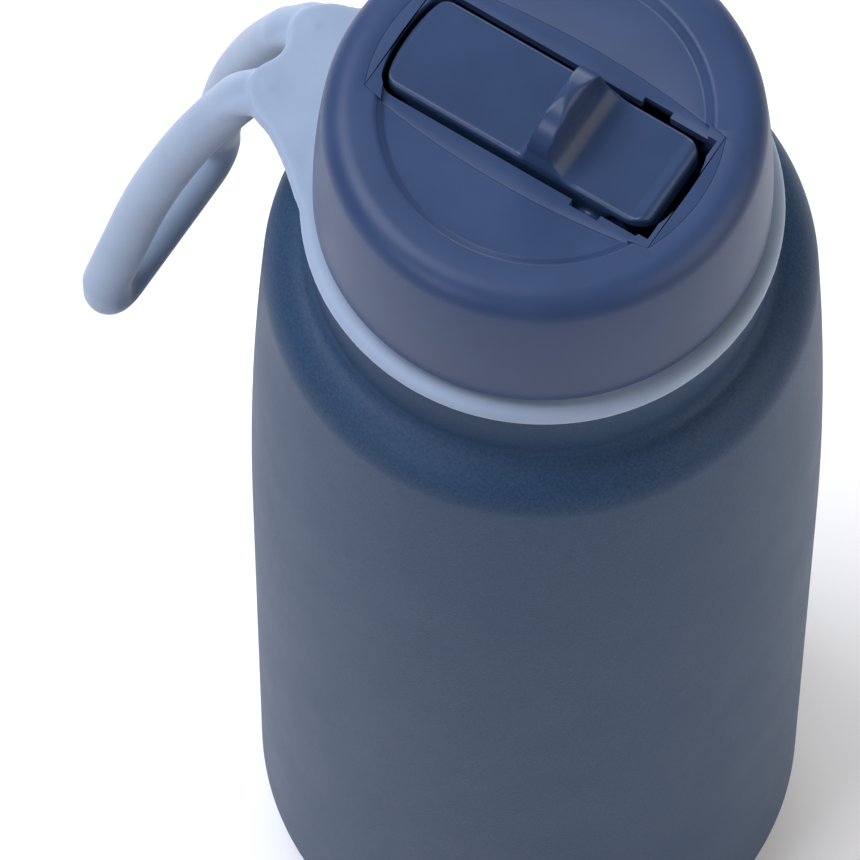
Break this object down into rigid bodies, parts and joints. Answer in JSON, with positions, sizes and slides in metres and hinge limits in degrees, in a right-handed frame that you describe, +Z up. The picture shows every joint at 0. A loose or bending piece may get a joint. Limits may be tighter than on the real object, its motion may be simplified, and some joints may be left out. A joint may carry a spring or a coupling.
{
  "type": "insulated water bottle",
  "caption": "Wide insulated steel bottle with a screw lid, a flip-up drinking spout with a thumb fin, a long straw and a silicone carry loop on the neck.",
  "frame": {"origin": "centre of the foot ring on the surface the bottle stands on", "axes": "+Z up along the bottle's axis; -X towards the carry loop and the mouthpiece end of the spout; the spout turns about Y"},
  "size_m": [0.1214, 0.0914, 0.2539],
  "materials": {
    "powder_coat": "fine-grained matte powder coat",
    "vessel_steel": "electropolished stainless steel",
    "copper_foil": "bright copper foil",
    "sealing_glass": "fused dark brazing glass",
    "getter_metal": "pressed metal capsule",
    "handle_silicone": "soft matte moulded silicone",
    "seal_silicone": "translucent moulded silicone",
    "lid_plastic": "satin moulded polypropylene",
    "liner_plastic": "moulded polypropylene",
    "straw_plastic": "extruded translucent plastic",
    "spout_plastic": "smooth moulded polypropylene"
  },
  "bodies": {
    "bottle": {"outer_shell": "powder_coat", "inner_vessel": "vessel_steel", "heat_shield_foil": "copper_foil", "shell_base": "vessel_steel", "vacuum_plug": "sealing_glass", "getter": "getter_metal", "base_cover": "powder_coat"},
    "seal": {"lid_gasket": "seal_silicone"},
    "lid": {"lid_shell": "lid_plastic", "spout_cradle": "lid_plastic", "cradle_seal": "seal_silicone", "lid_liner": "liner_plastic", "vent_valve": "seal_silicone", "spout_seal": "seal_silicone", "straw_connector": "seal_silicone", "straw": "straw_plastic"},
    "spout": {"spout": "spout_plastic"},
    "handle": {"handle": "handle_silicone"}
  },
  "joints": [
    {"name": "lid_lift", "type": "slide", "parent": "bottle", "child": "seal", "axis": [0, 0, 1], "range_m": [0, 0.008]},
    {"name": "lid_turn", "type": "hinge", "parent": "seal", "child": "lid", "pos_m": [0, 0, 0.217], "axis": [0, 0, 1], "range_deg": [0, 721]},
    {"name": "spout_flip", "type": "hinge", "parent": "lid", "child": "spout", "pos_m": [0.0135, 0, 0.237], "axis": [0, 1, 0], "range_deg": [0, 85]},
    {"name": "handle_swivel", "type": "hinge", "parent": "bottle", "child": "handle", "pos_m": [0, 0, 0.213], "axis": [0, 0, 1], "continuous": true}
  ],
  "couplings": [
    {"joint": "lid_turn", "follows": "lid_lift", "rad_per_m": 1570.8}
  ]
}
